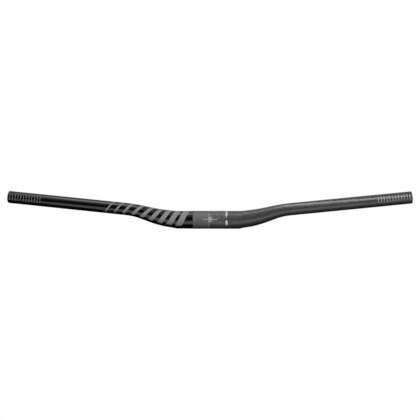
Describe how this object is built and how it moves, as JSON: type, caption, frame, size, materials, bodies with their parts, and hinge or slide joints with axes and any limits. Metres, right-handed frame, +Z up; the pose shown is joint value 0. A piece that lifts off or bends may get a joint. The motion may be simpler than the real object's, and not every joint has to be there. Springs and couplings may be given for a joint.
{
  "type": "riser handlebar",
  "caption": "Hollow moulded bicycle handlebar with a straight clamp seat, a gentle rise on each side and tapered grip ends that sweep up and back.",
  "frame": {"origin": "centre of the clamp seat, on the bar's axis", "axes": "+X along the clamp seat towards the rider's left, +Y back towards the rider, +Z up"},
  "size_m": [0.7236, 0.063, 0.0646],
  "materials": {
    "bar_shell": "carbon fibre in epoxy, matt clear coat, with gloss black lacquer over the rider's right half",
    "grey_print": "grey ink film: the slanted bars and the cut marks on the lacquered half, and the middle line",
    "white_print": "white ink film: the turn marks and dots on the clamp seat, and the cut marks on the matt half"
  },
  "bodies": {
    "root": {"handlebar": "bar_shell"}
  },
  "joints": []
}
